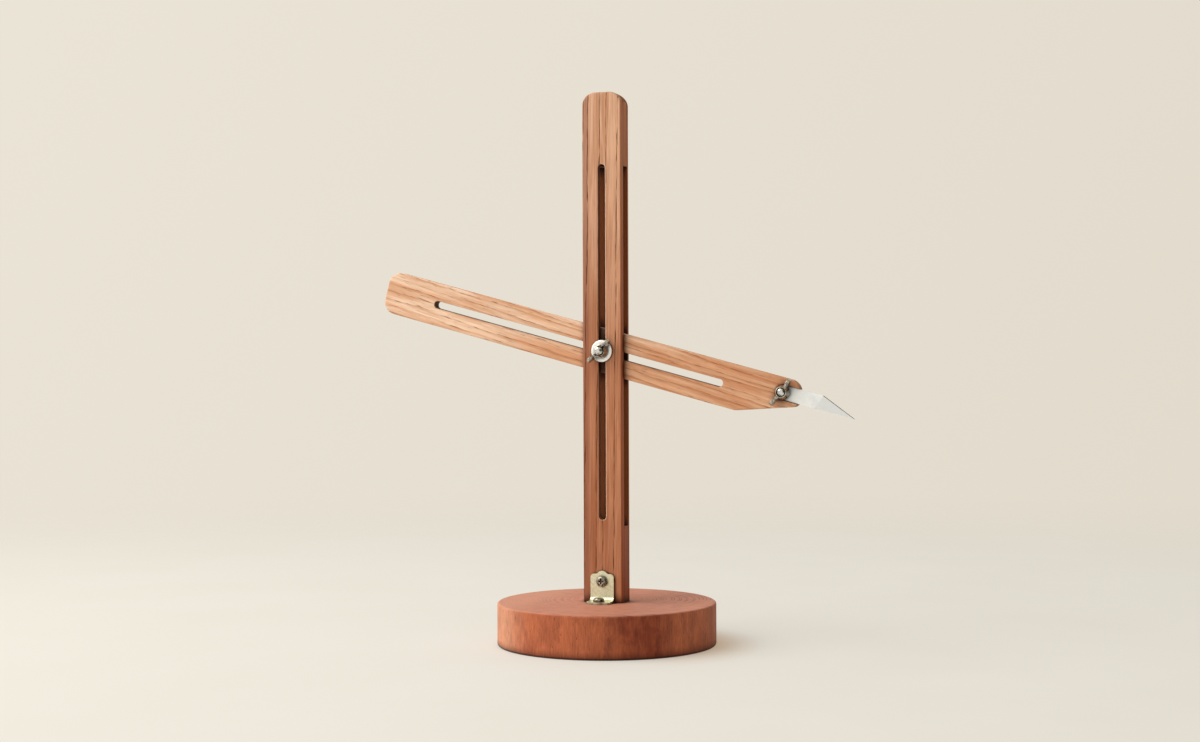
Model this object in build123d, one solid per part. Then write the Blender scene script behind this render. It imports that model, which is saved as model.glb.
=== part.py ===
from build123d import *
import math
import os

# Pottery throwing gauge. A slotted mast stands on a round base and carries a slotted
# arm with a blade at its nose, clamped by one bolt with a wing nut. Millimetres.
# X runs across the mast towards the blade, -Y is the front and Z is up. The origin is
# the centre of the base's underside.

# Base
base_diameter = 120.0
base_thickness = 23.3
base_edge_round = 1.2

# Mast: a front and a rear slat, glued to one spacer at the foot and one at the top
mast_width = 22.5
mast_height = 278.5
front_slat_thickness = 3.7
rear_slat_thickness = 2.7
mast_corner_round = 7.0
mast_back_round = 8.0
mast_edge_round = 0.8
foot_spacer_height = 41.5
window_height = 196.8
mast_slot_start = 45.0
mast_slot_length = 194.2

# Arm: a slotted board that runs through the window between the slats
arm_length = 249.0
arm_width = 23.8
arm_thickness = 6.0
arm_side_clearance = 0.15
arm_corner_round = 7.0
arm_edge_round = 0.5
arm_slot_from_tail = 30.9
arm_slot_length = 175.9
nose_bevel_length = 32.2
nose_bevel_angle = 18.2
nose_bevel_round = 6.0
nose_lip_round = 3.0

# Setting of the arm: the bolt's height above the base, the bolt's place along the arm
# from its tail, and the nose's dip below level in degrees
setting_height = 137.2
setting_reach = 137.0
setting_dip = 15.0

# Bolts
bolt_diameter = 4.0
bolt_end_round = 0.7
bolt_head_diameter = 8.0
bolt_head_height = 2.6
bolt_head_dome = 1.6
bolt_recess_length = 4.4
bolt_recess_width = 0.9
bolt_recess_depth = 1.3
pivot_bolt_beyond_nut = 3.2
blade_bolt_beyond_nut = 0.6
slot_clearance = 0.1
washer_clearance = 0.1
thread_clearance = 0.05

# Washers
pivot_washer_diameter = 12.0
pivot_washer_thickness = 1.0
blade_washer_diameter = 7.4
blade_washer_thickness = 1.0
rear_washer_diameter = 9.0
rear_washer_thickness = 0.8

# Wing nuts. Each turn is measured from level, anticlockwise as seen from the front
nut_base_diameter = 8.0
nut_base_height = 1.0
nut_top_diameter = 5.8
nut_height = 3.8
wing_span = 17.4
wing_thickness = 1.9
wing_tip_round = 2.1
wing_tip_height = 4.4
wing_underside_turn = -65.0
wing_flank_turn = 165.0
wing_root_height = 0.9
wing_saddle_rise = 0.15
wing_edge_chamfer = 0.35
pivot_nut_turn = 44.0
blade_nut_turn = 51.5

# Blade, and the groove in the arm's face that holds it
blade_width = 7.8
blade_thickness = 0.6
blade_reach = 40.9
blade_edge_length = 19.0
blade_facet_setback = 3.5
blade_tip_thickness = 0.12
blade_tip_rise = 0.3
blade_side_clearance = 0.2
blade_groove_depth = 1.5
blade_above_middle = 4.2
blade_bolt_from_nose = 9.5

# Corner brace: a strip bent to a right angle, with scalloped ends
brace_width = 13.4
brace_thickness = 1.2
brace_bend_round = 2.2
brace_mast_leaf = 17.4
brace_base_leaf = 10.8
brace_shoulder_drop = 1.7
brace_shoulder_round = 1.9
brace_crown_round = 3.4
brace_hollow_round = 2.2
mast_screw_height = 11.7
base_screw_distance = 6.5

# Brace screws, with pan heads
brace_screw_diameter = 3.0
brace_screw_length = 9.0
brace_screw_head_diameter = 6.0
brace_screw_head_height = 2.2
brace_screw_head_dome = 1.4
brace_screw_recess_length = 3.4
brace_screw_recess_width = 0.7
brace_screw_recess_depth = 1.0
brace_hole_clearance = 0.2

# Foot screws, with countersunk heads, up through the base into the foot spacer
foot_screw_diameter = 3.5
foot_screw_length = 36.0
foot_screw_head_diameter = 7.0
foot_screw_head_height = 2.4
foot_screw_spacing = 12.0
foot_screw_sink = 0.4
foot_screw_recess_length = 3.8
foot_screw_recess_width = 0.8
foot_screw_recess_depth = 1.4

# What both kinds of wood screw share
screw_tip_length = 3.0
screw_tip_diameter = 0.6
screw_clearance = 0.05

# Depths of the mast's layers, from the middle of the glued mast
window_depth = arm_thickness + 2 * arm_side_clearance
mast_depth = front_slat_thickness + window_depth + rear_slat_thickness
mast_front = -mast_depth / 2
mast_rear = mast_depth / 2
window_front = mast_front + front_slat_thickness
window_rear = mast_rear - rear_slat_thickness
window_middle = (window_front + window_rear) / 2

# Heights above the table
mast_top = base_thickness + mast_height
window_bottom = base_thickness + foot_spacer_height
window_top = window_bottom + window_height
pivot_height = base_thickness + setting_height

# Depths and places on the arm, whose lengths are counted from the pivot bolt
arm_front = window_front + arm_side_clearance
arm_rear = arm_front + arm_thickness
groove_floor = arm_front + blade_groove_depth
blade_front = groove_floor - blade_thickness
blade_nut_seat = blade_front - blade_washer_thickness
arm_tail = -setting_reach
arm_nose = arm_tail + arm_length
blade_bolt_along = arm_nose - blade_bolt_from_nose

# Widths that follow what runs in them
slot_width = bolt_diameter + 2 * slot_clearance
groove_width = blade_width + 2 * blade_side_clearance

# Turns for a piece that is drawn standing up, so that it points somewhere else
to_front = Rot(90, 0, 0)
to_back = Rot(-90, 0, 0)
to_floor = Rot(180, 0, 0)

# Moves for what is drawn on a level arm, with the pivot bolt at the origin
arm_setting = Pos(0, 0, pivot_height) * Rot(0, setting_dip, 0)


def plate(outline, front, rear):
    """Solid with this outline in X and Z, between two depths in Y."""
    return extrude(Plane.XZ.offset(-rear) * outline, rear - front)


def turned(points):
    """Solid turned about Z, through these pairs of radius and height."""
    return revolve(Plane.XZ * make_face(Polyline(*points, close=True)), Axis.Z)


def cross_recess(length, width, depth):
    """Driver recess that opens downwards at the origin."""
    bar = Pos(0, 0, depth / 2) * Box(length, width, depth)
    return bar + Rot(0, 0, 90) * bar


def pan_head(diameter, height, dome):
    """Domed head that hangs below the origin."""
    head = Pos(0, 0, -height / 2) * Cylinder(diameter / 2, height)
    return fillet(head.edges().sort_by(Axis.Z)[0], dome)


# Wooden stand


def base():
    """Round block with eased rims, drilled for the foot screws and the brace."""
    block = Pos(0, 0, base_thickness / 2) * Cylinder(base_diameter / 2, base_thickness)
    block = fillet(block.edges().filter_by(GeomType.CIRCLE), base_edge_round)
    return block - foot_screw_holes() - base_screw_hole()


def mast_envelope():
    """Outer form of the glued mast, with round top corners and a rounded back."""
    middle = Pos(0, base_thickness + mast_height / 2)
    front_view = middle * Rectangle(mast_width, mast_height)
    front_view = fillet(front_view.vertices().group_by(Axis.Y)[-1], mast_corner_round)
    side_view = middle * Rectangle(mast_depth, mast_height)
    back_corner = side_view.vertices().group_by(Axis.Y)[-1].sort_by(Axis.X)[-1]
    side_view = fillet(back_corner, mast_back_round)
    body = plate(front_view, mast_front, mast_rear)
    body &= extrude(Plane.YZ * side_view, mast_width / 2, both=True)
    faces = body.faces().sort_by(Axis.Y)
    rims = faces[0].edges() + faces[-1].edges()
    rims = rims.filter_by(lambda edge: edge.center().Z > base_thickness + mast_edge_round)
    return fillet(rims, mast_edge_round)


def mast_layer(front, rear, bottom, top):
    """Slice of the mast between two depths and two heights."""
    block = Box(mast_width, rear - front, top - bottom)
    return mast_envelope() & Pos(0, (front + rear) / 2, (bottom + top) / 2) * block


def mast_slot():
    """Cutter for the slot in which the pivot bolt is raised and lowered."""
    middle = base_thickness + mast_slot_start + mast_slot_length / 2
    outline = Pos(0, middle) * Rot(0, 0, 90) * SlotOverall(mast_slot_length, slot_width)
    return plate(outline, mast_front, mast_rear)


def mast_front_slat():
    """Slotted front slat, with the hole for the brace's screw."""
    slat = mast_layer(mast_front, window_front, base_thickness, mast_top)
    return slat - mast_slot() - mast_screw_hole()


def mast_rear_slat():
    """Slotted rear slat."""
    return mast_layer(window_rear, mast_rear, base_thickness, mast_top) - mast_slot()


def mast_foot_spacer():
    """Spacer below the window, which takes the foot screws and the brace's screw."""
    spacer = mast_layer(window_front, window_rear, base_thickness, window_bottom)
    return spacer - foot_screw_holes() - mast_screw_hole()


def mast_top_spacer():
    """Spacer above the window."""
    return mast_layer(window_front, window_rear, window_top, mast_top)


# Arm and blade


def arm_outline():
    """Outline of the level arm, with the bevel that leads up to the blade."""
    half = arm_width / 2
    bevel_rise = nose_bevel_length * math.tan(math.radians(nose_bevel_angle))
    corners = [
        (arm_tail, -half),
        (arm_nose - nose_bevel_length, -half),
        (arm_nose, bevel_rise - half),
        (arm_nose, half),
        (arm_tail, half),
    ]
    rounds = [
        arm_corner_round,
        nose_bevel_round,
        nose_lip_round,
        arm_corner_round,
        arm_corner_round,
    ]
    return make_face(FilletPolyline(*corners, radius=rounds, close=True))


def blade_bolt_place():
    """Place of the blade's bolt on the face of the level arm."""
    return Pos(blade_bolt_along, blade_above_middle)


def blade_groove():
    """Outline of the groove, which is open at the nose and round behind the bolt."""
    run = 2 * blade_bolt_from_nose
    channel = Pos(run / 2, 0) * Rectangle(run, groove_width)
    return blade_bolt_place() * (channel + Circle(groove_width / 2))


def blade_bolt_bore():
    """Outline of the hole for the blade's bolt."""
    return blade_bolt_place() * Circle(bolt_diameter / 2 + thread_clearance)


def arm():
    """Slotted board, with the groove and the bolt hole for the blade at its nose."""
    board = plate(arm_outline(), arm_front, arm_rear)
    board = fillet(board.faces().filter_by(Axis.Y).edges(), arm_edge_round)
    slot_middle = Pos(arm_tail + arm_slot_from_tail + arm_slot_length / 2, 0)
    slot = slot_middle * SlotOverall(arm_slot_length, slot_width)
    board -= plate(slot, arm_front, arm_rear)
    board -= plate(blade_groove(), arm_front, groove_floor)
    board -= plate(blade_bolt_bore(), groove_floor, arm_rear)
    return arm_setting * board


def facet_cutter(ridge_foot, ridge_top, tip, face, side):
    """Block that takes the metal off one face of the blade, from the ridge to the tip."""
    along = (ridge_top - ridge_foot).normalized()
    across = Vector(along.Z, 0, -along.X)
    run = (tip - ridge_foot).dot(across)
    fall = (blade_thickness - blade_tip_thickness) / 2
    outwards = Vector(0, side * run, 0) + across * fall
    origin = Vector(ridge_foot.X, face, ridge_foot.Z)
    block = Pos(0, 0, blade_width / 2) * Box(2 * blade_reach, 2 * blade_reach, blade_width)
    return Plane(origin=origin, x_dir=along, z_dir=outwards) * block


def blade():
    """Blade with a round tang, a slanted back and facets that thin it to the tip."""
    half = blade_width / 2
    back_end = blade_reach - blade_edge_length
    tip_height = blade_tip_rise - half
    sides = Polyline((0, -half), (blade_reach, tip_height), (back_end, half), (0, half))
    tang = ThreePointArc((0, half), (-half, 0), (0, -half))
    outline = blade_bolt_place() * make_face(Curve() + [sides, tang])
    steel = plate(outline - blade_bolt_bore(), blade_front, groove_floor)
    to_bolt = Vector(blade_bolt_along, 0, blade_above_middle)
    ridge_top = to_bolt + Vector(back_end, 0, half)
    ridge_foot = to_bolt + Vector(back_end - blade_facet_setback, 0, -half)
    tip = to_bolt + Vector(blade_reach, 0, tip_height)
    steel -= facet_cutter(ridge_foot, ridge_top, tip, blade_front, -1)
    steel -= facet_cutter(ridge_foot, ridge_top, tip, groove_floor, 1)
    return arm_setting * steel


# Bolts, washers and wing nuts


def bolt(length):
    """Bolt that stands up from the seat of its pan head."""
    shank = Pos(0, 0, length / 2) * Cylinder(bolt_diameter / 2, length)
    shank = fillet(shank.edges().sort_by(Axis.Z)[-1], bolt_end_round)
    head = pan_head(bolt_head_diameter, bolt_head_height, bolt_head_dome)
    recess = cross_recess(bolt_recess_length, bolt_recess_width, bolt_recess_depth)
    return shank + head - Pos(0, 0, -bolt_head_height) * recess


def washer(diameter, thickness):
    """Washer that lies on the origin."""
    disc = Pos(0, 0, thickness / 2) * Cylinder(diameter / 2, thickness)
    return disc - Cylinder(bolt_diameter / 2 + washer_clearance, 2 * thickness)


def wing_outline():
    """Outline of one wing, from the middle of the nut to the wing's tip."""
    base_edge = nut_base_diameter / 2
    top_edge = nut_top_diameter / 2
    tip = Vector(wing_span / 2 - wing_tip_round, wing_tip_height)
    radius = Vector(wing_tip_round, 0)
    under_tip = tip + radius.rotate(Axis.Z, wing_underside_turn)
    outer_tip = tip + radius.rotate(Axis.Z, (wing_underside_turn + wing_flank_turn) / 2)
    flank = tip + radius.rotate(Axis.Z, wing_flank_turn)
    saddle = ((top_edge + flank.X) / 2, nut_height + wing_saddle_rise)
    underside = Polyline((0, wing_root_height), (base_edge, wing_root_height), under_tip)
    rim = ThreePointArc(under_tip, outer_tip, flank)
    hollow = ThreePointArc(flank, saddle, (top_edge, nut_height))
    root = Polyline((top_edge, nut_height), (0, nut_height), (0, wing_root_height))
    return make_face(Curve() + [underside, rim, hollow, root])


def wing_nut():
    """Wing nut that stands on the origin, with its wings along X."""
    hub = turned(
        [
            (0, 0),
            (nut_base_diameter / 2, 0),
            (nut_base_diameter / 2, nut_base_height),
            (nut_top_diameter / 2, nut_height),
            (0, nut_height),
        ]
    )
    wing = extrude(Plane.XZ * wing_outline(), wing_thickness / 2, both=True)
    rims = wing.faces().filter_by(Axis.Y).edges()
    rims = rims.filter_by(lambda edge: edge.center().X > nut_top_diameter / 2)
    wing = chamfer(rims, wing_edge_chamfer)
    bore = Cylinder(bolt_diameter / 2 + thread_clearance, 3 * nut_height)
    return hub + wing + Rot(0, 0, 180) * wing - bore


def on_pivot(depth):
    """Place on the pivot bolt at this depth, pointing to the front."""
    return Pos(0, depth, pivot_height) * to_front


def on_blade_bolt(depth):
    """Place on the blade's bolt at this depth, pointing to the front."""
    return arm_setting * Pos(blade_bolt_along, depth, blade_above_middle) * to_front


def pivot_bolt():
    """Bolt through both slats and the arm, with its head behind the mast."""
    grip = mast_depth + 2 * pivot_washer_thickness
    length = grip + nut_height + pivot_bolt_beyond_nut
    return on_pivot(mast_rear + pivot_washer_thickness) * bolt(length)


def pivot_rear_washer():
    """Washer under the pivot bolt's head."""
    disc = washer(pivot_washer_diameter, pivot_washer_thickness)
    return on_pivot(mast_rear + pivot_washer_thickness) * disc


def pivot_front_washer():
    """Washer between the mast and the pivot's wing nut."""
    return on_pivot(mast_front) * washer(pivot_washer_diameter, pivot_washer_thickness)


def pivot_wing_nut():
    """Wing nut that clamps the arm in the mast."""
    seat = on_pivot(mast_front - pivot_washer_thickness)
    return seat * Rot(0, 0, pivot_nut_turn) * wing_nut()


def blade_bolt():
    """Bolt through the arm and the blade, with its head behind the arm."""
    head_seat = arm_rear + rear_washer_thickness
    length = head_seat - blade_nut_seat + nut_height + blade_bolt_beyond_nut
    return on_blade_bolt(head_seat) * bolt(length)


def blade_rear_washer():
    """Washer under the blade bolt's head."""
    disc = washer(rear_washer_diameter, rear_washer_thickness)
    return on_blade_bolt(arm_rear + rear_washer_thickness) * disc


def blade_front_washer():
    """Washer between the blade and its wing nut, inside the groove."""
    disc = washer(blade_washer_diameter, blade_washer_thickness)
    return on_blade_bolt(blade_front) * disc


def blade_wing_nut():
    """Wing nut that clamps the blade, turned against the arm's dip."""
    turn = Rot(0, 0, blade_nut_turn + setting_dip)
    return on_blade_bolt(blade_nut_seat) * turn * wing_nut()


# Corner brace and its screws


def leaf_outline(length):
    """Outline of one leaf of the brace, with two shoulders and a crown at its end."""
    shoulder = length - brace_shoulder_drop
    outline = Pos(0, shoulder / 2) * Rectangle(brace_width, shoulder)
    outline = fillet(outline.vertices().group_by(Axis.Y)[-1], brace_shoulder_round)
    outline += Pos(0, length - brace_crown_round) * Circle(brace_crown_round)
    hollows = outline.vertices().sort_by_distance((0, shoulder))[:2]
    return fillet(hollows, brace_hollow_round)


def mast_screw_place():
    """Seat of the screw in the brace's upright leaf, pointing into the mast."""
    height = base_thickness + mast_screw_height
    return Pos(0, mast_front - brace_thickness, height) * to_back


def base_screw_place():
    """Seat of the screw in the brace's flat leaf, pointing into the base."""
    depth = mast_front - base_screw_distance
    return Pos(0, depth, base_thickness + brace_thickness) * to_floor


def corner_brace():
    """Bent and drilled strip in the corner between the mast and the base."""
    leg = brace_thickness
    section = make_face(
        Polyline(
            (0, 0),
            (0, brace_mast_leaf),
            (-leg, brace_mast_leaf),
            (-leg, leg),
            (-brace_base_leaf, leg),
            (-brace_base_leaf, 0),
            close=True,
        )
    )
    outer_corner = section.vertices().sort_by_distance((0, 0))[0]
    section = fillet(outer_corner, brace_bend_round + leg)
    inner_corner = section.vertices().sort_by_distance((-leg, leg))[0]
    section = fillet(inner_corner, brace_bend_round)
    strip = extrude(Plane.YZ * section, brace_width / 2, both=True)
    upright = extrude(Plane.XZ * leaf_outline(brace_mast_leaf), brace_base_leaf)
    flat = extrude(Rot(0, 0, 180) * leaf_outline(brace_base_leaf), brace_mast_leaf)
    strip = Pos(0, mast_front, base_thickness) * (strip & upright & flat)
    hole = Cylinder(brace_screw_diameter / 2 + brace_hole_clearance, 3 * brace_thickness)
    return strip - mast_screw_place() * hole - base_screw_place() * hole


def brace_screw():
    """Pan-head wood screw that stands up from the seat of its head."""
    point = brace_screw_length - screw_tip_length
    shank = turned(
        [
            (0, 0),
            (brace_screw_diameter / 2, 0),
            (brace_screw_diameter / 2, point),
            (screw_tip_diameter / 2, brace_screw_length),
            (0, brace_screw_length),
        ]
    )
    head = pan_head(
        brace_screw_head_diameter, brace_screw_head_height, brace_screw_head_dome
    )
    recess = cross_recess(
        brace_screw_recess_length, brace_screw_recess_width, brace_screw_recess_depth
    )
    return shank + head - Pos(0, 0, -brace_screw_head_height) * recess


def brace_screw_hole():
    """Cutter for the hole that a brace screw makes in the wood."""
    depth = brace_screw_length + screw_clearance
    radius = brace_screw_diameter / 2 + screw_clearance
    return Pos(0, 0, depth / 2) * Cylinder(radius, depth)


def mast_screw_hole():
    """Hole of the screw in the upright leaf."""
    return mast_screw_place() * brace_screw_hole()


def base_screw_hole():
    """Hole of the screw in the flat leaf."""
    return base_screw_place() * brace_screw_hole()


def brace_mast_screw():
    """Screw through the upright leaf into the mast."""
    return mast_screw_place() * brace_screw()


def brace_base_screw():
    """Screw through the flat leaf into the base."""
    return base_screw_place() * brace_screw()


# Foot screws


def foot_screw_places():
    """Places of both foot screws, with the heads sunk in the base's underside."""
    half = foot_screw_spacing / 2
    return [Pos(x, window_middle, foot_screw_sink) for x in (-half, half)]


def foot_screw():
    """Countersunk wood screw that stands up from the flat of its head."""
    point = foot_screw_length - screw_tip_length
    form = turned(
        [
            (0, 0),
            (foot_screw_head_diameter / 2, 0),
            (foot_screw_diameter / 2, foot_screw_head_height),
            (foot_screw_diameter / 2, point),
            (screw_tip_diameter / 2, foot_screw_length),
            (0, foot_screw_length),
        ]
    )
    recess = cross_recess(
        foot_screw_recess_length, foot_screw_recess_width, foot_screw_recess_depth
    )
    return form - recess


def foot_screw_hole():
    """Cutter for a drilled and countersunk hole that takes a foot screw."""
    head = foot_screw_head_diameter / 2 + screw_clearance
    shank = foot_screw_diameter / 2 + screw_clearance
    end = foot_screw_length + screw_clearance
    return turned(
        [
            (0, -foot_screw_sink),
            (head, -foot_screw_sink),
            (head, 0),
            (shank, foot_screw_head_height),
            (shank, end),
            (0, end),
        ]
    )


def foot_screw_holes():
    """Holes of both foot screws."""
    hole = foot_screw_hole()
    return Part() + [place * hole for place in foot_screw_places()]


def foot_screws():
    """Both foot screws."""
    screw = foot_screw()
    return Compound(children=[place * screw for place in foot_screw_places()])


pieces = [
    base,
    mast_front_slat,
    mast_rear_slat,
    mast_foot_spacer,
    mast_top_spacer,
    arm,
    blade,
    pivot_bolt,
    pivot_rear_washer,
    pivot_front_washer,
    pivot_wing_nut,
    blade_bolt,
    blade_rear_washer,
    blade_front_washer,
    blade_wing_nut,
    corner_brace,
    brace_mast_screw,
    brace_base_screw,
    foot_screws,
]

os.makedirs("parts", exist_ok=True)
for piece in pieces:
    export_step(piece(), f"parts/{piece.__name__}.step")
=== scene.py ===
import math

import bmesh
import bpy
from mathutils import Matrix, Vector


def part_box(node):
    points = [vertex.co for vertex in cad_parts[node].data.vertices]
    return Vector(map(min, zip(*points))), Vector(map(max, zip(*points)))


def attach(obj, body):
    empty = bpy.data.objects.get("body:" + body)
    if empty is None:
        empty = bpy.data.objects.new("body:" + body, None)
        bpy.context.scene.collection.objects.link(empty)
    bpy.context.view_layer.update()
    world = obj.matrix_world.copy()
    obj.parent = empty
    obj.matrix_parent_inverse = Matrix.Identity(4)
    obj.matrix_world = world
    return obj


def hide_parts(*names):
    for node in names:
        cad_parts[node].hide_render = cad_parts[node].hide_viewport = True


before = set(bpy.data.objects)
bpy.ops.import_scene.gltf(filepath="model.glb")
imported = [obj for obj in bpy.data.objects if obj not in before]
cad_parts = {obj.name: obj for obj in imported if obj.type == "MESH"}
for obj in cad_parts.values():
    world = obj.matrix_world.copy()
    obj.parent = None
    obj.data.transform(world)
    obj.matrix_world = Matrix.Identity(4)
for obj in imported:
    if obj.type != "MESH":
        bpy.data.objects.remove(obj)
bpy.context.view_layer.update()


# Base: a round block turned from a reddish hardwood, with its fibres standing upright, so
# that the rim shows short vertical streaks and the top the ends of the pores. It is
# stained and oiled, both rims are eased, and two screws from below hold the mast.

mm = 0.001


def linear(colour):
    """An sRGB hex colour as the linear colour that a shader takes."""
    channels = [int(colour[i:i + 2], 16) / 255 for i in (1, 3, 5)]
    channels = [c / 12.92 if c <= 0.04045 else ((c + 0.055) / 1.055) ** 2.4 for c in channels]
    return (*channels, 1.0)


def add(tree, kind, inputs=(), **settings):
    """Adds a node. An input takes a value, a socket, or the first output of a node."""
    node = tree.nodes.new("ShaderNode" + kind)
    for name, value in settings.items():
        setattr(node, name, value)
    for name, value in dict(inputs).items():
        if isinstance(value, bpy.types.Node):
            value = value.outputs[0]
        if isinstance(value, bpy.types.NodeSocket):
            tree.links.new(value, node.inputs[name])
        else:
            node.inputs[name].default_value = value
    return node


def blank_material(name):
    """A material with an empty node tree, and that tree."""
    material = bpy.data.materials.new(name)
    material.use_nodes = True
    material.node_tree.nodes.clear()
    return material, material.node_tree


def worn_and_lit_edges(tree, width, start, share):
    """How much an edge is tinted, up to this share, for handling and as a painted highlight,
    and the normal of its rounded surface.
    """
    normal = add(tree, "NewGeometry").outputs["Normal"]
    rounded = add(tree, "Bevel", {"Radius": width}, samples=6)
    turned_away = add(tree, "VectorMath", {0: rounded, 1: normal}, operation="DOT_PRODUCT")
    wear_and_highlight = add(tree, "MapRange", {"Value": turned_away.outputs["Value"], "From Min": start,
                                  "From Max": 0.8, "To Max": share})
    return wear_and_highlight, rounded


def painted_corner_shade(tree, reach, full, share):
    """How much painted shade darkens a corner, up to this share, where surfaces come within
    reach.
    """
    open_sky = add(tree, "AmbientOcclusion", {"Distance": reach}, samples=8).outputs["AO"]
    return add(tree, "MapRange", {"Value": open_sky, "From Min": 0.85, "From Max": full,
                                  "To Max": share})


def growth_years(tree, board, pith, ring, waver):
    """Years from the nearest bound between two, less than 0 before it, and the year's tone.
    The years differ in width, and their bounds stray a little along the board."""
    stray_length = 9 * mm
    wander = add(tree, "Mapping", {"Vector": board, "Scale": (1, 1, 0.2)})
    wander = add(tree, "TexNoise", {"Vector": wander, "Scale": 1 / stray_length,
                                    "Detail": 2.0})
    radius = add(tree, "Mapping", {"Vector": board, "Location": pith, "Scale": (1, 1, 0)})
    radius = add(tree, "VectorMath", {0: radius}, operation="LENGTH").outputs["Value"]
    radius = add(tree, "Math", {0: wander, 1: waver, 2: radius}, operation="MULTIPLY_ADD")
    years = add(tree, "Math", {0: radius, 1: ring}, operation="DIVIDE")
    year = add(tree, "TexVoronoi", {"W": years, "Scale": 1.0, "Randomness": 0.8},
               voronoi_dimensions="1D")
    since = add(tree, "Math", {0: years, 1: year.outputs["W"]}, operation="SUBTRACT")
    return since, year.outputs["Color"]


def oiled_wood(name, turn, pith, ring, waver, line, early, late, cloud, cloud_size,
               cloud_squash, pore, rare, fibre, squash, end, edge, streaks=(), cut=None,
               foot=None, window=None):
    """Sawn, sanded and oiled wood, satin, darker in its pores, and with painted shade in its
    cuts and corners.

    turn brings the fibres upright, and pith then brings the tree's centre to zero. ring is
    a year's width, waver how far its bounds stray, and line how many more pores its first
    wood has. cloud_size is the width of the clouds. cloud_squash and squash are width over
    length, of clouds and of fibres. rare says how few pores there are, and fibre how much
    the fibres differ in tone. early, late, cloud and pore are colours.
    end: colour and share of the end grain; on the base's top this tint is also a painted
    sheen, and on the arm's nose a painted shade. edge: colour and share of handled edges,
    whose pale tints are in part painted highlights, then each place across from which on they
    have another colour. streaks: place across, half width, colour and share of each; those on
    the base's rim and the mast's right side are painted light and shade. cut: colour of the
    painted shade on the walls of slot and window, and half the slot's width. foot: tint of the
    lower end, and the heights at which it is full and gone. window: middle depth, half depth
    and half width.
    """
    end_colour, end_share = end
    edge_colour, edge_share, *edge_changes = edge
    material, tree = blank_material(name)
    coordinates = add(tree, "TexCoord").outputs
    place = coordinates["Object"]
    across, depth, height = add(tree, "SeparateXYZ", {"Vector": place}).outputs
    board = add(tree, "Mapping", {"Vector": place, "Rotation": turn})

    # Each year's growth ends in dark late wood, and the next starts with a row of pores.
    # The late wood is paler in some stretches of the board than in others.
    since, year_colour = growth_years(tree, board, pith, ring, waver)
    darkening = add(tree, "MapRange", {"Value": since, "From Min": -0.4, "From Max": -0.03},
                    interpolation_type="SMOOTHSTEP")
    ending = add(tree, "MapRange", {"Value": since, "From Min": 0.08, "From Max": 0.02})
    late_wood = add(tree, "Math", {0: darkening, 1: ending}, operation="MULTIPLY")
    clouds = add(tree, "Mapping", {"Vector": board, "Scale": (1, 1, cloud_squash)})
    clouds = add(tree, "TexNoise", {"Vector": clouds, "Scale": 1 / cloud_size, "Detail": 4.0,
                                    "Distortion": 0.4})
    clouds = add(tree, "MapRange", {"Value": clouds, "From Min": 0.36, "From Max": 0.64},
                 interpolation_type="SMOOTHSTEP")
    fading = add(tree, "MapRange", {"Value": clouds, "To Min": 0.35})
    late_wood = add(tree, "Math", {0: late_wood, 1: fading}, operation="MULTIPLY")

    # Single fibres are far too fine to show, so bundles of them stand for them, and the
    # pores are drawn about twice as wide as they are.
    bundle_width = 0.7 * mm
    pore_width = 0.3 * mm
    pore_row = 0.5 * mm
    thread = add(tree, "Mapping", {"Vector": board, "Scale": (1, 1, squash)})
    fibres = add(tree, "TexNoise", {"Vector": thread, "Scale": 1 / bundle_width, "Detail": 4.0,
                                    "Roughness": 0.6})
    fibre_tone = add(tree, "MapRange", {"Value": fibres, "From Min": 0.3, "From Max": 0.7,
                                        "To Min": 1 - fibre, "To Max": 1 + fibre})
    pores = add(tree, "TexNoise", {"Vector": thread, "Scale": 1 / pore_width, "Detail": 1.0})
    from_bound = add(tree, "Math", {0: since}, operation="ABSOLUTE")
    first_wood = add(tree, "MapRange", {"Value": from_bound, "From Min": pore_row / ring,
                                        "From Max": 0.3 * pore_row / ring, "To Max": line})
    pores = add(tree, "Math", {0: pores, 1: first_wood}, operation="ADD")
    pores = add(tree, "MapRange", {"Value": pores, "From Min": rare, "From Max": rare + 0.12})

    # The oil brings out every difference in tone, from the broad clouds to single pores.
    colour = add(tree, "MixRGB", {"Fac": clouds, "Color1": linear(early),
                                  "Color2": linear(cloud)})
    year_tone = add(tree, "MapRange", {"Value": year_colour, "To Min": 0.93, "To Max": 1.05})
    colour = add(tree, "MixRGB", {"Fac": 1.0, "Color1": colour, "Color2": year_tone},
                 blend_type="MULTIPLY")
    colour = add(tree, "MixRGB", {"Fac": late_wood, "Color1": colour, "Color2": linear(late)})
    for streak_place, half_width, streak_colour, share in streaks:
        beside = add(tree, "Math", {0: across, 1: streak_place}, operation="SUBTRACT")
        beside = add(tree, "Math", {0: beside}, operation="ABSOLUTE")
        beside = add(tree, "MapRange", {"Value": beside, "From Min": half_width,
                                        "From Max": 0.5 * half_width, "To Max": share})
        colour = add(tree, "MixRGB", {"Fac": beside, "Color1": colour,
                                      "Color2": linear(streak_colour)})
    colour = add(tree, "MixRGB", {"Fac": 1.0, "Color1": colour, "Color2": fibre_tone},
                 blend_type="MULTIPLY")
    if foot:
        foot_colour, foot_low, foot_high = foot
        lower = add(tree, "MapRange", {"Value": height, "From Min": foot_high,
                                       "From Max": foot_low})
        colour = add(tree, "MixRGB", {"Fac": lower, "Color1": colour,
                                      "Color2": linear(foot_colour)}, blend_type="MULTIPLY")
    colour = add(tree, "MixRGB", {"Fac": pores, "Color1": colour, "Color2": linear(pore)})
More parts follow.
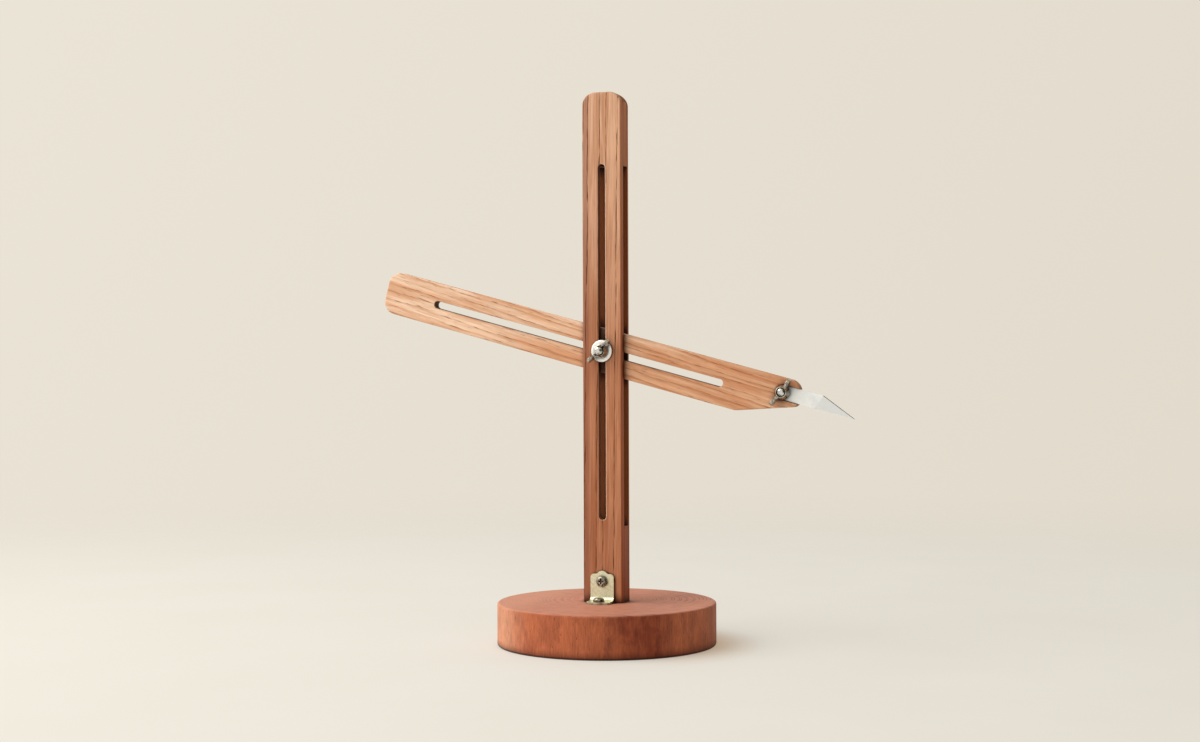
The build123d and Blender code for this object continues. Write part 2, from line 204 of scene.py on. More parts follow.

    # End grain soaks up more oil. Its tint also stands for painted light and shade: a paler
    # sheen on the base's top, shade on the arm's nose. Sanding and handling round and tint the
    # edges, and their pale tints are in part painted highlights where light catches a rim.
    facing = add(tree, "Mapping", {"Vector": coordinates["Normal"], "Rotation": turn},
                 vector_type="VECTOR")
    facing = add(tree, "SeparateXYZ", {"Vector": facing}).outputs
    end_grain_and_light = add(tree, "Math", {0: facing["Z"]}, operation="ABSOLUTE")
    end_grain_and_light = add(tree, "MapRange", {"Value": end_grain_and_light, "From Min": 0.45, "From Max": 0.9,
                                       "To Max": end_share})
    ringed = add(tree, "MapRange", {"Value": late_wood, "To Min": 1.0, "To Max": 0.3})
    end_grain_and_light = add(tree, "Math", {0: end_grain_and_light, 1: ringed}, operation="MULTIPLY")
    colour = add(tree, "MixRGB", {"Fac": end_grain_and_light, "Color1": colour,
                                  "Color2": linear(end_colour)})
    rubbed_and_lit, eased = worn_and_lit_edges(tree, width=0.9 * mm, start=0.99, share=edge_share)
    edge_tint = linear(edge_colour)
    for start, colour_from_there in edge_changes:
        beyond = add(tree, "Math", {0: across, 1: start}, operation="GREATER_THAN")
        edge_tint = add(tree, "MixRGB", {"Fac": beyond, "Color1": edge_tint,
                                         "Color2": linear(colour_from_there)})
    colour = add(tree, "MixRGB", {"Fac": rubbed_and_lit, "Color1": colour, "Color2": edge_tint})

    # The walls of slot and window are painted darker, a painted shade for the deep narrow
    # gaps. Glue leaves a thin dark line where slats and spacers meet.
    if cut:
        wall_shade_colour, cut_half_width = cut
        glue_half_width = 0.2 * mm
        off_middle = add(tree, "Math", {0: across}, operation="ABSOLUTE")
        inside = add(tree, "MapRange", {"Value": off_middle, "From Min": 1.5 * cut_half_width,
                                        "From Max": 1.1 * cut_half_width})
        sideways = add(tree, "Math", {0: facing["Y"]}, operation="ABSOLUTE")
        wall = add(tree, "MapRange", {"Value": sideways, "From Min": 0.7, "From Max": 0.3,
                                      "To Max": 0.85})
        wall = add(tree, "Math", {0: inside, 1: wall}, operation="MULTIPLY")
        if window:
            middle, half_depth, half_width = window
            deep = add(tree, "Math", {0: depth, 1: middle, 2: half_depth}, operation="COMPARE")
            between = add(tree, "Math", {0: off_middle, 1: half_width}, operation="LESS_THAN")
            between = add(tree, "Math", {0: deep, 1: between}, operation="MULTIPLY")
            wall = add(tree, "Math", {0: wall, 1: between}, operation="MAXIMUM")
            off_joint = add(tree, "Math", {0: depth, 1: middle}, operation="SUBTRACT")
            off_joint = add(tree, "Math", {0: off_joint}, operation="ABSOLUTE")
            glue = add(tree, "Math", {0: off_joint, 1: half_depth - glue_half_width / 2,
                                      2: glue_half_width}, operation="COMPARE")
            colour = add(tree, "MixRGB", {"Fac": glue, "Color1": colour,
                                          "Color2": linear("#43210F")})
        colour = add(tree, "MixRGB", {"Fac": wall, "Color1": colour,
                                      "Color2": linear(wall_shade_colour)})

    # Corners and gaps that other surfaces come close to are painted darker, a painted shade
    # where little light reaches.
    shade_in_corners = painted_corner_shade(tree, reach=7 * mm, full=0.5, share=0.92)
    colour = add(tree, "MixRGB", {"Fac": shade_in_corners, "Color1": colour,
                                  "Color2": linear("#3A190B")})

    # The oil lies in the wood more than on it, so it is satin and reflects little. Pores
    # are open and rough.
    roughness = add(tree, "MapRange", {"Value": fibres, "From Min": 0.3, "From Max": 0.7,
                                       "To Min": 0.55, "To Max": 0.68})
    roughness = add(tree, "Math", {0: pores, 1: 0.2, 2: roughness}, operation="MULTIPLY_ADD")
    relief = add(tree, "Math", {0: pores, 1: -1.0, 2: fibres}, operation="MULTIPLY_ADD")
    bump = add(tree, "Bump", {"Height": relief, "Normal": eased, "Strength": 0.5,
                              "Distance": 0.06 * mm})
    shader = add(tree, "BsdfPrincipled", {"Base Color": colour, "Roughness": roughness,
                                          "Normal": bump, "IOR": 1.47,
                                          "Specular IOR Level": 0.2})
    add(tree, "OutputMaterial", {"Surface": shader})
    return material


def dress(material, *names):
    """Gives CAD nodes a better material than the one they were packed with."""
    for name in names:
        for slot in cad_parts[name].material_slots:
            slot.material = material


# The stain sinks unevenly into the upright fibres, so that the rim is a cloudy red-brown.
# Broad bands across the rim paint its light and shade: paler from the left to the middle,
# towards the lamp, darker right of the middle, and paler again at the right end. The top's
# pinker end grain is in part a painted sheen, and both pale edges are in part painted
# highlights.
stained_hardwood = oiled_wood(
    "stained and oiled hardwood", turn=(0, 0, 0), pith=(-0.006, -0.012, 0), ring=2.0 * mm,
    waver=1.6 * mm, line=0.03, early="#A75A3A", late="#6C3123", cloud="#7F3C27",
    cloud_size=7 * mm, cloud_squash=0.65, pore="#662B1D", rare=0.67, fibre=0.22, squash=0.12,
    end=("#C58C77", 0.75), edge=("#DFA684", 0.55),
    streaks=((-62 * mm, 40 * mm, "#E8AC8A", 0.55), (-4 * mm, 34 * mm, "#BE6E4A", 0.5),
             (38 * mm, 16 * mm, "#7F3822", 0.4), (64 * mm, 22 * mm, "#C57A58", 0.45)))
dress(stained_hardwood, "base")


# Mast: two slotted teak slats glued to a spacer at the foot and one at the top, so that the
# arm can run between them. The grain is straight and upright, with thin dark lines where the
# late wood is, and a painted shade darkens it towards the foot.

# A warm golden brown with long fine pores. Hands have darkened the outer edges on the left.
# The slot's rims carry pale painted highlights, the right one brightest, a band on the right
# side face is painted light, and the walls of slot and window are painted shade.
mast_grain_slope = -0.013
oiled_teak = oiled_wood(
    "oiled teak", turn=(0, mast_grain_slope, 0), pith=(0.2511, -0.03, 0), ring=5.5 * mm,
    waver=1.6 * mm, line=0.32, early="#DEB194", late="#C5926F", cloud="#C89473",
    cloud_size=3.5 * mm, cloud_squash=0.07, pore="#55290F", rare=0.74, fibre=0.2, squash=0.03,
    end=("#8A5A40", 0.7),
    edge=("#5E301C", 0.8, (-4.2 * mm, "#EAAA82"), (0.0, "#FFE8D0"), (4.2 * mm, "#C08A68")),
    streaks=((-9.6 * mm, 2.6 * mm, "#A97A66", 0.7), (8.0 * mm, 4.0 * mm, "#F0C6A6", 0.3),
             (11.3 * mm, 0.8 * mm, "#B26435", 0.7)),
    cut=("#97582F", 2.1 * mm), foot=("#D5B8A6", 0.15, 0.27),
    window=(0.5 * mm, 3.25 * mm, 11.0 * mm))
dress(oiled_teak, "mast_front_slat", "mast_rear_slat", "mast_foot_spacer", "mast_top_spacer")


# Arm: one slotted board of the same teak, sawn from a paler plank. Its grain runs along
# it, a few degrees off its edges, so that the streaks run out at its nose.

# Straw-coloured, with fine short pores, and with darker late wood that crosses the board at a
# slant. Its ends are darker as end grain, and on the nose this is in part a painted shade.
dip = math.radians(15.0)
grain_slope = math.radians(2.5)
pale_teak = oiled_wood(
    "pale oiled teak", turn=(0, -(math.pi / 2 + dip + grain_slope), 0), pith=(0.045, 0.012, 0),
    ring=3.6 * mm, waver=4.5 * mm, line=0.13, early="#F0D2B9", late="#CC9975",
    cloud="#DFB190", cloud_size=4 * mm, cloud_squash=0.1, pore="#945E40", rare=0.67,
    fibre=0.13, squash=0.045, end=("#7E4C32", 0.75), edge=("#C08A62", 0.4),
    foot=("#EBD6C5", 0.157, 0.176))
dress(pale_teak, "arm")


# Blade: a strip of tool steel with a slanted back, ground on both faces so that it thins to
# its tip. A coarse wheel cut the faces. A thin dark line along the slanted back is a painted
# reflection of the dark room in its honed edge.

def metal(name, base, dull, roughness, mark, wear_and_glint_colour, hollow_shade_share=0.8, lines=None, relief=0.01 * mm,
          zones=()):
    """Bare or plated metal. mark is the size of its cloudy marks, and wear the colour of its
    edges, from abrasion and in part painted highlights. grime is the share of painted shade in
    its hollows. lines is how far apart grinding or turning lines lie, and their way, and
    relief their depth. zones: two points of a line, and colour, share and blur beyond it."""
    material, tree = blank_material(name)
    place = add(tree, "TexCoord").outputs["Object"]
    clouds = add(tree, "TexNoise", {"Vector": place, "Scale": 1 / mark, "Detail": 5.0})
    clouds = add(tree, "MapRange", {"Value": clouds, "From Min": 0.35, "From Max": 0.65},
                 interpolation_type="SMOOTHSTEP")
    colour = add(tree, "MixRGB", {"Fac": clouds, "Color1": linear(base),
                                  "Color2": linear(dull)})
    # Edges get a paler colour, from abrasion and in part as painted highlights.
    wear_and_highlight, _ = worn_and_lit_edges(tree, width=0.25 * mm, start=0.985, share=0.6)
    colour = add(tree, "MixRGB", {"Fac": wear_and_highlight, "Color1": colour, "Color2": linear(wear_and_glint_colour)})
    for (low, high), zone_colour, share, blur in zones:
        out = Vector((high.z - low.z, 0, low.x - high.x)).normalized()
        beyond = add(tree, "VectorMath", {0: place, 1: out}, operation="DOT_PRODUCT")
        beyond = add(tree, "MapRange", {"Value": beyond.outputs["Value"],
                                        "From Min": out.dot(low) - blur,
                                        "From Max": out.dot(low) + blur, "To Max": share})
        colour = add(tree, "MixRGB", {"Fac": beyond, "Color1": colour,
                                      "Color2": linear(zone_colour)})
    # Hollows and gaps are painted darker, a painted shade where little light reaches.
    shade_in_corners = painted_corner_shade(tree, reach=3 * mm, full=0.35, share=hollow_shade_share)
    colour = add(tree, "MixRGB", {"Fac": shade_in_corners, "Color1": colour,
                                  "Color2": linear("#2B231C")})
    rough = add(tree, "MapRange", {"Value": clouds, "To Min": 0.8 * roughness,
                                   "To Max": 1.25 * roughness})

    # Scratches are finer than a render shows, so they are drawn as wide as they need.
    scratch_width = 0.25 * mm
    height = add(tree, "TexNoise", {"Vector": place, "Scale": 1 / scratch_width,
                                    "Detail": 3.0})
    if lines:
        spacing, way = lines
        way = {"wave_type": "RINGS", "rings_direction": "Z"} if way == "round" else {
            "wave_type": "BANDS", "bands_direction": way}
        # A wave's period is tau / 20 at scale 1.
        marks = add(tree, "TexWave", {"Vector": place, "Scale": math.tau / 20 / spacing,
                                      "Distortion": 2.5, "Detail": 3.0}, **way)
        height = add(tree, "Math", {0: marks, 1: 2.0, 2: height}, operation="MULTIPLY_ADD")
    bump = add(tree, "Bump", {"Height": height, "Strength": 0.4, "Distance": relief})
    shader = add(tree, "BsdfPrincipled", {"Base Color": colour, "Roughness": rough,
                                          "Metallic": 1.0, "Normal": bump})
    add(tree, "OutputMaterial", {"Surface": shader})
    return material


pivot_height = 160.5 * mm
blade_bolt_along = 102.5 * mm
blade_bolt_up = 4.2 * mm
blade_half_width = 3.9 * mm
ridge_start = 18.4 * mm
slant_start = 21.9 * mm
blade_tip = 40.9 * mm
dark_line_width = 0.3 * mm


def on_blade(along, up):
    """Place on the blade, this far along it from its bolt and above its middle."""
    level = Vector((blade_bolt_along + along, 0, blade_bolt_up + up))
    return Matrix.Rotation(dip, 3, "Y") @ level + Vector((0, 0, pivot_height))


# A pale, matt sheen with fine lines across the blade. The lines are drawn 0.3 mm apart,
# because real ones are too fine to show. Past the ridge where the grind begins, the tip is
# painted a little darker, a painted reflection of its tilted facet, and the slanted back has a
# thin painted dark reflection.
ridge = (on_blade(ridge_start, -blade_half_width), on_blade(slant_start, blade_half_width))
slanted_back = (on_blade(blade_tip, -blade_half_width),
                on_blade(slant_start, blade_half_width - dark_line_width))
ground_steel = metal("ground tool steel", "#EDF0F1", "#E2E6E9", 0.55, 7 * mm, "#F6F8F8",
                     lines=(0.3 * mm, "X"), relief=0.0012 * mm,
                     zones=((ridge, "#D9DDE0", 0.8, 0.4 * mm),
                            (slanted_back, "#3A3430", 0.9, 0.1 * mm)))
dress(ground_steel, "blade")


# Bolts: machine screws with a 0.7 mm thread, a pan head and a driver recess, of
# zinc-plated steel. One runs through both slats and the arm, and one holds the blade.

# Light grey with a soft gleam, a little cloudy where the zinc has dulled.
zinc_plated_steel = metal("zinc-plated steel", "#E4E4E1", "#C6C8C8", 0.26, 1.5 * mm,
                          "#F4F4F0")
thread_pitch = 0.7 * mm
thread_depth = 0.42 * mm
plain_neck = 0.5 * mm
lead_in = 0.6 * mm
bolt_radius = 2.0 * mm
head_radius = 4.0 * mm
head_dome = 1.6 * mm
head_rim = 0.1 * mm
recess_length = 4.4 * mm
recess_width = 0.9 * mm
recess_depth = 1.3 * mm
thread_segments = 40


def arc(centre, radius, start, end, steps=6):
    """Points of radius and height on an arc, from one angle in degrees to another."""
    angles = [math.radians(start + (end - start) * i / steps) for i in range(steps + 1)]
    return [(centre[0] + radius * math.cos(angle), centre[1] + radius * math.sin(angle))
            for angle in angles]


def pan_head(radius, height, dome, neck):
    """Outline of a pan head, from the middle of its top to the neck under it."""
    return [(0.0, -height), *arc((radius - dome, dome - height), dome, -90, 0),
            (radius, -head_rim), (radius - head_rim, 0.0), (neck, 0.0)]


def thread_cut(height, angle, pitch):
    """How deep a thread is cut at this place, from 0 on its crest to 1 at its root."""
    phase = (height / pitch - angle / math.tau) % 1.0
    return 1 - abs(2 * phase - 1)


def turn_on_axis(mesh_maker, outline, segments, groove=None):
    """Faces turned about Z through pairs of radius and height, less what groove takes."""
    rings = []
    for radius, height in outline:
        ring = []
        for i in range(segments if radius else 1):
            angle = math.tau * i / segments
            depth = groove(radius, height, angle) if groove and radius else 0.0
            ring.append(mesh_maker.verts.new(((radius - depth) * math.cos(angle),
                                              (radius - depth) * math.sin(angle), height)))
        rings.append(ring)
    for low, high in zip(rings, rings[1:] + rings[:1]):
        for i in range(segments):
            corners = [low[i % len(low)], low[(i + 1) % len(low)],
                       high[(i + 1) % len(high)], high[i % len(high)]]
            corners = list(dict.fromkeys(corners))
            if len(corners) > 2:
                mesh_maker.faces.new(corners)


def close_solid(mesh_maker, near, far):
    """Faces that close a solid between two rings with the same number of corners."""
    mesh_maker.faces.new(near)
    mesh_maker.faces.new(far)
    for i in range(len(near)):
        j = (i + 1) % len(near)
        mesh_maker.faces.new((near[i], near[j], far[j], far[i]))


def finished(mesh_maker, name, place, sharp=35.0):
    """The piece that these faces make, smooth but for its sharp edges, put in its place."""
    bmesh.ops.recalc_face_normals(mesh_maker, faces=mesh_maker.faces)
    mesh = bpy.data.meshes.new(name)
    mesh_maker.to_mesh(mesh)
    mesh_maker.free()
    mesh.shade_smooth()
    mesh.set_sharp_from_angle(angle=math.radians(sharp))
    piece = bpy.data.objects.new(name, mesh)
    bpy.context.scene.collection.objects.link(piece)
    piece.matrix_world = place
    return piece


def apply_modifiers(piece):
    """Turns what the piece's modifiers show into its own mesh."""
    shown = piece.evaluated_get(bpy.context.evaluated_depsgraph_get())
    mesh = bpy.data.meshes.new_from_object(shown)
    piece.modifiers.clear()
    piece.data = mesh


def sink_cross(piece, length, width, depth, face):
    """Sinks a driver recess that narrows inwards into the head, whose face is this high."""
    mesh_maker = bmesh.new()
    rings = []
    for scale, height in ((1.0, face - depth / 4), (0.4, face + depth)):
        arm, half = scale * length / 2, width / 2 * (0.5 + scale / 2)
        corners = [Vector(c) for c in ((arm, -half, height), (arm, half, height),
                                       (half, half, height))]
        turns = [Matrix.Rotation(math.tau * i / 4, 3, "Z") for i in range(4)]
        rings.append([mesh_maker.verts.new(turn @ c) for turn in turns for c in corners])
    close_solid(mesh_maker, *rings)
    cutter = finished(mesh_maker, "recess_cutter", piece.matrix_world)
    bpy.context.view_layer.update()
    cut = piece.modifiers.new("recess", "BOOLEAN")
    cut.object, cut.operation, cut.solver = cutter, "DIFFERENCE", "EXACT"
    apply_modifiers(piece)
    bpy.data.objects.remove(cutter)


def coat(piece, material):
    """Gives a finished piece its one material."""
    piece.data.materials.clear()
    piece.data.materials.append(material)


def to_front(node, depth):
    """Place on this node's axis at this depth, with Z pointing to the front."""
    low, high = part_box(node)
    middle = (low + high) / 2
    return Matrix.Translation((middle.x, depth, middle.z)) @ Matrix.Rotation(
        math.pi / 2, 4, "X")


def make_bolt(name, node, washer, body):
    """A threaded bolt in the place of this CAD node, whose head bears on this washer."""
    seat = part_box(washer)[1].y
    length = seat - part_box(node)[0].y
    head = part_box(node)[1].y - seat
    rings_per_pitch = 8

    def groove(radius, height, angle):
        """How deep the thread's groove is here. It runs out before the head."""
        fade = min(1.0, max(0.0, (height - plain_neck) / thread_pitch))
        return thread_depth * fade * thread_cut(height, angle, thread_pitch)

    steps = int((length - lead_in) / thread_pitch * rings_per_pitch)
    shank = [(bolt_radius, (length - lead_in) * i / steps) for i in range(1, steps + 1)]
    outline = [*pan_head(head_radius, head, head_dome, bolt_radius), *shank,
               (bolt_radius - lead_in, length), (0.0, length)]
    mesh_maker = bmesh.new()
    turn_on_axis(mesh_maker, outline, thread_segments, groove)
    bolt = finished(mesh_maker, name, to_front(node, seat), sharp=30.0)
    sink_cross(bolt, recess_length, recess_width, recess_depth, -head)
    coat(bolt, zinc_plated_steel)
    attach(bolt, body)
    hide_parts(node)


make_bolt("pivot_bolt_threaded", "pivot_bolt", "pivot_rear_washer", "clamp_bolt")
make_bolt("blade_bolt_threaded", "blade_bolt", "blade_rear_washer", "arm_with_blade")


# Washers: rings blanked from zinc-plated sheet, with rims rounded by tumbling. The press
# and the nuts leave faint rings on their faces.

# Almost white, and softer than the bolts from the tumbling. The rings are drawn 0.5 mm
# apart, because real ones are too fine to show.
tumbled_zinc = metal("tumbled zinc-plated steel", "#FBFAF8", "#E9EBEC", 0.32, 1.2 * mm,
                     "#FCFCF9", lines=(0.5 * mm, "round"), relief=0.02 * mm)
rim_round = 0.2 * mm
hole_radius = 2.1 * mm


def make_washer(name, node, body):
    """A rounded ring in the place of this CAD node."""
    low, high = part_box(node)
    outer, top = (high.x - low.x) / 2 - rim_round, high.y - low.y - rim_round
    inner = hole_radius + rim_round
    corners = [(outer, rim_round, -90), (outer, top, 0), (inner, top, 90),
               (inner, rim_round, 180)]
    outline = [point for radius, height, start in corners
               for point in arc((radius, height), rim_round, start, start + 90, 4)]
    mesh_maker = bmesh.new()
    turn_on_axis(mesh_maker, outline, segments=72)
    ring = finished(mesh_maker, name, to_front(node, high.y))
    coat(ring, tumbled_zinc)
    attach(ring, body)
    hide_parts(node)


make_washer("pivot_rear_washer_rounded", "pivot_rear_washer", "rear_washer")
make_washer("pivot_front_washer_rounded", "pivot_front_washer", "front_washer")
make_washer("blade_rear_washer_rounded", "blade_rear_washer", "arm_with_blade")
make_washer("blade_front_washer_rounded", "blade_front_washer", "blade_washer")


# Wing nuts: die-cast in one piece with two ears, whose roots run smoothly into the
# conical hub, then tumbled and nickel-plated.

# The plating mirrors the room, warm grey where it looks at the wall, and its hollows are
# painted dark as shade.
nickel_plate = metal("nickel-plated casting", "#BCB7AD", "#8E877B", 0.17, 1.1 * mm,
                     "#EFECE4", hollow_shade_share=0.9)
bore_radius = 2.05 * mm
nut_base_radius = 4.0 * mm
nut_base_height = 1.0 * mm
nut_top_radius = 2.9 * mm
nut_top_rim = 0.3 * mm
nut_countersink = 0.8 * mm
nut_height = 3.8 * mm
wing_reach = 8.7 * mm
wing_root = 2.5 * mm
wing_root_height = 0.9 * mm
wing_thickness = 1.75 * mm
wing_tip_round = 2.15 * mm
wing_tip_height = 4.4 * mm
wing_saddle_out = 1.3 * mm
wing_saddle_up = 0.9 * mm
casting_grain = 0.13 * mm


def make_wing_nut(name, node, washer, body, turn):
    """A cast wing nut in the place of this CAD node, turned this far from level."""
    mesh_maker = bmesh.new()
    turn_on_axis(mesh_maker, [
        (bore_radius, 0.0), (nut_base_radius, 0.0), (nut_base_radius, nut_base_height),
        (nut_top_radius, nut_height), (nut_top_radius - nut_top_rim, nut_height),
        (bore_radius, nut_height - nut_countersink)], segments=64)
    tip = (wing_reach - wing_tip_round, wing_tip_height)
    outline = [(wing_root, wing_root_height), (nut_base_radius, wing_root_height),
               *arc(tip, wing_tip_round, -65, 125, 16),
               (nut_top_radius + wing_saddle_out, nut_height + wing_saddle_up),
               (wing_root, nut_height)]
    for side in (1, -1):
        faces = [[mesh_maker.verts.new((side * x, y * wing_thickness / 2, z))
                  for x, z in outline] for y in (-1, 1)]
        close_solid(mesh_maker, *faces)
    place = to_front(washer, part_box(washer)[0].y) @ Matrix.Rotation(
        math.radians(turn), 4, "Z")
    nut = finished(mesh_maker, name, place)
    cast = nut.modifiers.new("one casting", "REMESH")
    cast.mode, cast.voxel_size = "VOXEL", casting_grain
    tumbled = nut.modifiers.new("tumbled", "SMOOTH")
    tumbled.factor, tumbled.iterations = 0.5, 6
    apply_modifiers(nut)
    nut.data.shade_smooth()
    coat(nut, nickel_plate)
    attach(nut, body)
    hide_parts(node)


make_wing_nut("pivot_wing_nut_cast", "pivot_wing_nut", "pivot_front_washer", "wing_nut",
              turn=44.0)
make_wing_nut("blade_wing_nut_cast", "blade_wing_nut", "blade_front_washer", "blade_nut",
              turn=51.5)


# Corner brace: a strip stamped from sheet steel with scalloped ends, bent and plated with
# thin brass. Two nickel-plated pan-head wood screws hold it to the mast and the base.

# Thin brass on steel is a pale greenish yellow, soft and a little cloudy. Its pale edges are
# in part painted highlights.
brass_plate = metal("brass-plated steel", "#E8EAD2", "#D7D5B5", 0.46, 1.5 * mm, "#F8F5E6")
dress(brass_plate, "corner_brace")

# Screws that have been driven are duller than the nuts, and their recesses are painted dark as
# shade.
dulled_nickel = metal("nickel-plated steel", "#A09A8E", "#6C655A", 0.2, 0.8 * mm, "#EAE6DC",
                      hollow_shade_share=0.95)
screw_radius = 1.5 * mm
screw_length = 9.0 * mm
screw_point = 3.0 * mm
screw_plain_shank = 2.5 * mm
screw_pitch = 1.2 * mm
screw_thread_share = 0.3
screw_head_radius = 3.0 * mm
screw_head_height = 2.2 * mm
screw_head_dome = 1.4 * mm
screw_recess_length = 4.0 * mm
screw_recess_width = 1.0 * mm
screw_recess_depth = 1.3 * mm


def make_brace_screw(name, node, place):
    """A wood screw in the place of this CAD node, with Z pointing into the wood."""
    def groove(radius, height, angle):
        """How deep the thread's groove is here. The part under the head is plain."""
        if height <= screw_plain_shank:
            return 0.0
        return screw_thread_share * radius * thread_cut(height, angle, screw_pitch)

    steps = 64
    heights = [screw_length * i / steps for i in range(1, steps)]
    shank = [(screw_radius * min(1.0, (screw_length - height) / screw_point), height)
             for height in heights]
    outline = [*pan_head(screw_head_radius, screw_head_height, screw_head_dome, screw_radius),
               *shank, (0.0, screw_length)]
    mesh_maker = bmesh.new()
    turn_on_axis(mesh_maker, outline, thread_segments, groove)
    screw = finished(mesh_maker, name, place, sharp=50.0)
    sink_cross(screw, screw_recess_length, screw_recess_width, screw_recess_depth,
               -screw_head_height)
    coat(screw, dulled_nickel)
    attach(screw, "stand")
    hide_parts(node)


low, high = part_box("brace_mast_screw")
seat = Vector(((low.x + high.x) / 2, low.y + screw_head_height, (low.z + high.z) / 2))
make_brace_screw("brace_mast_screw_threaded", "brace_mast_screw",
                 Matrix.Translation(seat) @ Matrix.Rotation(-math.pi / 2, 4, "X"))
low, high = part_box("brace_base_screw")
seat = Vector(((low.x + high.x) / 2, (low.y + high.y) / 2, high.z - screw_head_height))
make_brace_screw("brace_base_screw_threaded", "brace_base_screw",
                 Matrix.Translation(seat) @ Matrix.Rotation(math.pi, 4, "X"))


# Foot screws: two countersunk wood screws, up through the base into the foot spacer. Only
# their zinc-plated heads show, in the underside of the base.

dress(zinc_plated_steel, "foot_screws")


# Room: a matt cream floor that fades into a cream wall, one large soft lamp on the upper
# left, a weaker light from all round, and a dark card on the right, which no camera sees
# and which only gives the metal something dark to mirror.

def seen_directly(tree):
    """1 for what the camera sees, straight, mirrored or through glass."""
    path = add(tree, "LightPath").outputs
    seen = add(tree, "Math", {0: path["Is Camera Ray"], 1: path["Is Glossy Ray"]},
               operation="MAXIMUM")
    return add(tree, "Math", {0: seen, 1: path["Is Transmission Ray"]}, operation="MAXIMUM")


# Uncoated paper is even and has no shine, only a faint mottle as broad as a hand.
floor_radius = 1.3
fade_start = 0.3
fade_end = 1.25
floor_glow = 0.45
mottle_size = 111 * mm
floor_paper, floor_tree = blank_material("matt cream paper")
place = add(floor_tree, "TexCoord").outputs["Object"]
mottle = add(floor_tree, "TexNoise", {"Vector": place, "Scale": 1 / mottle_size,
                                      "Detail": 3.0})
cream = add(floor_tree, "MixRGB", {"Fac": mottle, "Color1": linear("#E4E2DB"),
                                   "Color2": linear("#E0DDD4")})

# Light off the reddish wood warms the paper close to it, which shows in the shade only,
# on the side away from the lamp.
wood_reach = 30 * mm
base_radius = 60 * mm
away_from_lamp = (0.85, 0.53, 0)
beside_wood = add(floor_tree, "AmbientOcclusion", {"Distance": wood_reach}, samples=8)
beside_wood = add(floor_tree, "MapRange", {"Value": beside_wood.outputs["AO"],
                                           "From Min": 0.97, "From Max": 0.5})
away = add(floor_tree, "VectorMath", {0: place, 1: away_from_lamp}, operation="DOT_PRODUCT")
in_shade = add(floor_tree, "MapRange", {"Value": away.outputs["Value"],
                                        "From Max": base_radius})
warm = add(floor_tree, "Math", {0: beside_wood, 1: in_shade}, operation="MULTIPLY")
cream = add(floor_tree, "MixRGB", {"Fac": warm, "Color1": cream,
                                   "Color2": linear("#DCC3A4")})
paper = add(floor_tree, "BsdfPrincipled", {"Base Color": cream, "Roughness": 0.9})
glow = add(floor_tree, "Emission", {"Color": cream, "Strength": 1.0})
glowing = add(floor_tree, "Math", {0: seen_directly(floor_tree), 1: floor_glow},
              operation="MULTIPLY")
paper = add(floor_tree, "MixShader", {0: glowing, 1: paper, 2: glow})
distance = add(floor_tree, "VectorMath", {0: place}, operation="LENGTH")
fade = add(floor_tree, "MapRange", {"Value": distance.outputs["Value"],
                                    "From Min": fade_start, "From Max": fade_end},
           interpolation_type="SMOOTHSTEP")
clear = add(floor_tree, "BsdfTransparent")
paper = add(floor_tree, "MixShader", {0: fade, 1: paper, 2: clear})
add(floor_tree, "OutputMaterial", {"Surface": paper})
mesh_maker = bmesh.new()
bmesh.ops.create_circle(mesh_maker, cap_ends=True, radius=floor_radius, segments=96)
floor = finished(mesh_maker, "floor", Matrix.Translation((0, 0, -0.02 * mm)))
coat(floor, floor_paper)

# The wall is brighter towards the lamp. What lights the object besides the lamp is
# brighter from the ceiling than from below.
world = bpy.data.worlds.new("cream room")
bpy.context.scene.world = world
world.use_nodes = True
sky = world.node_tree
sky.nodes.clear()
direction = add(sky, "TexCoord").outputs["Generated"]
lamp_side = Vector((-0.8, -0.3, 0.5)).normalized()
towards = add(sky, "VectorMath", {0: direction, 1: lamp_side}, operation="DOT_PRODUCT")
lamp_share = add(sky, "MapRange", {"Value": towards.outputs["Value"], "From Min": -1.0,
                                   "From Max": 1.0})
wall = add(sky, "MixRGB", {"Fac": lamp_share, "Color1": linear("#D9D1C2"),
                           "Color2": linear("#F2ECDF")})
ceiling = Vector((-0.45, -0.1, 0.89)).normalized()
upwards = add(sky, "VectorMath", {0: direction, 1: ceiling}, operation="DOT_PRODUCT")
ceiling_share = add(sky, "MapRange", {"Value": upwards.outputs["Value"], "From Min": -0.3,
                                      "From Max": 1.0})
fill = add(sky, "MixRGB", {"Fac": ceiling_share, "Color1": linear("#84705E"),
                           "Color2": linear("#EEEAE4")})
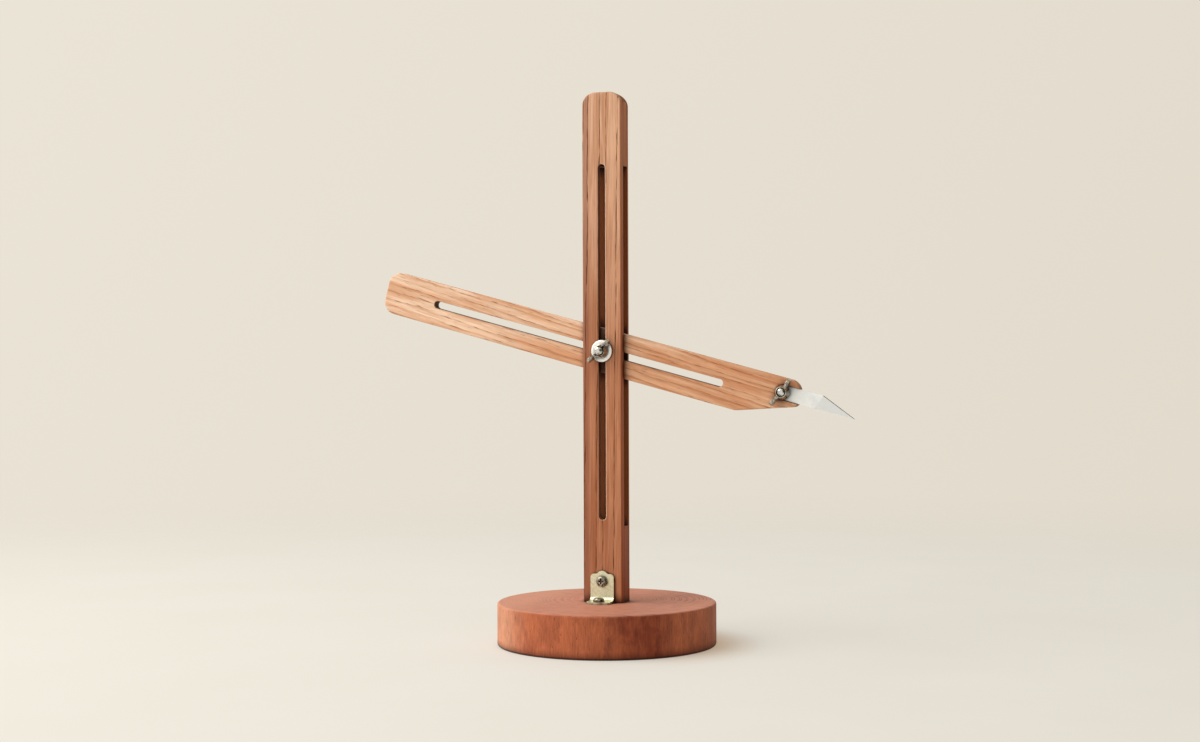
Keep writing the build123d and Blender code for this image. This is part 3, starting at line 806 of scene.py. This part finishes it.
wall = add(sky, "Background", {"Color": wall, "Strength": 1.0})
fill = add(sky, "Background", {"Color": fill, "Strength": 1.0})
surroundings = add(sky, "MixShader", {0: seen_directly(sky), 1: fill, 2: wall})
add(sky, "OutputWorld", {"Surface": surroundings})

lamp_data = bpy.data.lights.new("soft lamp", "AREA")
lamp_data.shape = "DISK"
lamp_data.size = 1.8
lamp_data.energy = 24.0
lamp_data.color = linear("#FFFAF3")[:3]
lamp = bpy.data.objects.new("soft lamp", lamp_data)
bpy.context.scene.collection.objects.link(lamp)
lamp.location = (-1.0, -0.62, 1.05)
lit_place = Vector((0, 0, 0.12))
lamp.rotation_euler = (lit_place - lamp.location).to_track_quat("-Z", "Y").to_euler()

# Black card is matt, and its uneven felt only softens what the metal mirrors.
card_half_width = 0.4
felt_size = 2.5 * mm
card_black, card_tree = blank_material("matt black card")
felt = add(card_tree, "TexNoise", {"Scale": 1 / felt_size})
black = add(card_tree, "MixRGB", {"Fac": felt, "Color1": linear("#1A1816"),
                                  "Color2": linear("#242120")})
black = add(card_tree, "BsdfPrincipled", {"Base Color": black, "Roughness": 0.9})
add(card_tree, "OutputMaterial", {"Surface": black})
mesh_maker = bmesh.new()
bmesh.ops.create_grid(mesh_maker, x_segments=1, y_segments=1, size=card_half_width)
upright = Matrix.Translation((0.6, -0.12, 0.36)) @ Matrix.Rotation(math.pi / 2, 4, "Y")
card = finished(mesh_maker, "dark_card", upright)
coat(card, card_black)
card.visible_camera = card.visible_diffuse = card.visible_shadow = False


# Camera: at the photo's viewing angle, almost level and half as high as the mast, a little
# under a metre from it and 20 degrees to the right of the front.

camera_data = bpy.data.cameras.new("camera")
camera_data.sensor_width = 36.0
camera_data.lens = 54.0
camera_data.shift_x = -0.005
camera = bpy.data.objects.new("camera", camera_data)
bpy.context.scene.collection.objects.link(camera)
camera.location = (0.3379, -0.9284, 0.1501)
camera.rotation_euler = (math.radians(89.97), math.radians(0.2), math.radians(20.0))
bpy.context.scene.camera = camera
bpy.context.scene.view_settings.view_transform = "Standard"
